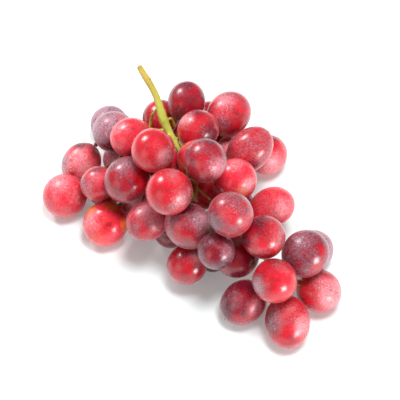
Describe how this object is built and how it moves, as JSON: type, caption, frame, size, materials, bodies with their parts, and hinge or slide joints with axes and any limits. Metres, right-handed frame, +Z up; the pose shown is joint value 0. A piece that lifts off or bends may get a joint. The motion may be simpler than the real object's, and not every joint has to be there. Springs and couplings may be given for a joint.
{
  "type": "bunch of grapes",
  "caption": "Bunch of red table grapes lying on its side: round to oval berries on a branched green stem with a cut stalk.",
  "frame": {"origin": "on the table, under the middle of the bunch's bounding box", "axes": "+Z up from the table; +X to the right as the picture shows it, +Y away from the viewer; the cut stalk is at the back left and the tip of the bunch at the front right"},
  "size_m": [0.145, 0.1396, 0.0712],
  "materials": {
    "grape_skin": "thin waxy skin, red to purple, satin gloss under a pale bloom",
    "grape_stem": "matt green stem, yellow and brown towards the cut end"
  },
  "bodies": {
    "root": {"stem": "grape_stem", "berry_01": "grape_skin", "berry_02": "grape_skin", "berry_03": "grape_skin", "berry_04": "grape_skin", "berry_05": "grape_skin", "berry_06": "grape_skin", "berry_07": "grape_skin", "berry_08": "grape_skin", "berry_09": "grape_skin", "berry_10": "grape_skin", "berry_11": "grape_skin", "berry_12": "grape_skin", "berry_13": "grape_skin", "berry_14": "grape_skin", "berry_15": "grape_skin", "berry_16": "grape_skin", "berry_17": "grape_skin", "berry_18": "grape_skin", "berry_19": "grape_skin", "berry_20": "grape_skin", "berry_21": "grape_skin", "berry_22": "grape_skin", "berry_23": "grape_skin", "berry_24": "grape_skin", "berry_25": "grape_skin", "berry_26": "grape_skin", "berry_27": "grape_skin", "berry_28": "grape_skin", "berry_29": "grape_skin", "berry_30": "grape_skin", "berry_31": "grape_skin", "berry_32": "grape_skin", "berry_33": "grape_skin", "berry_34": "grape_skin", "berry_35": "grape_skin", "berry_36": "grape_skin", "berry_37": "grape_skin", "berry_38": "grape_skin", "berry_39": "grape_skin", "berry_40": "grape_skin", "berry_41": "grape_skin", "berry_42": "grape_skin", "berry_43": "grape_skin", "berry_44": "grape_skin", "berry_45": "grape_skin", "berry_46": "grape_skin", "berry_47": "grape_skin", "berry_48": "grape_skin", "berry_49": "grape_skin", "berry_50": "grape_skin", "berry_51": "grape_skin", "berry_52": "grape_skin", "berry_53": "grape_skin", "berry_54": "grape_skin", "berry_55": "grape_skin", "berry_56": "grape_skin"}
  },
  "joints": []
}
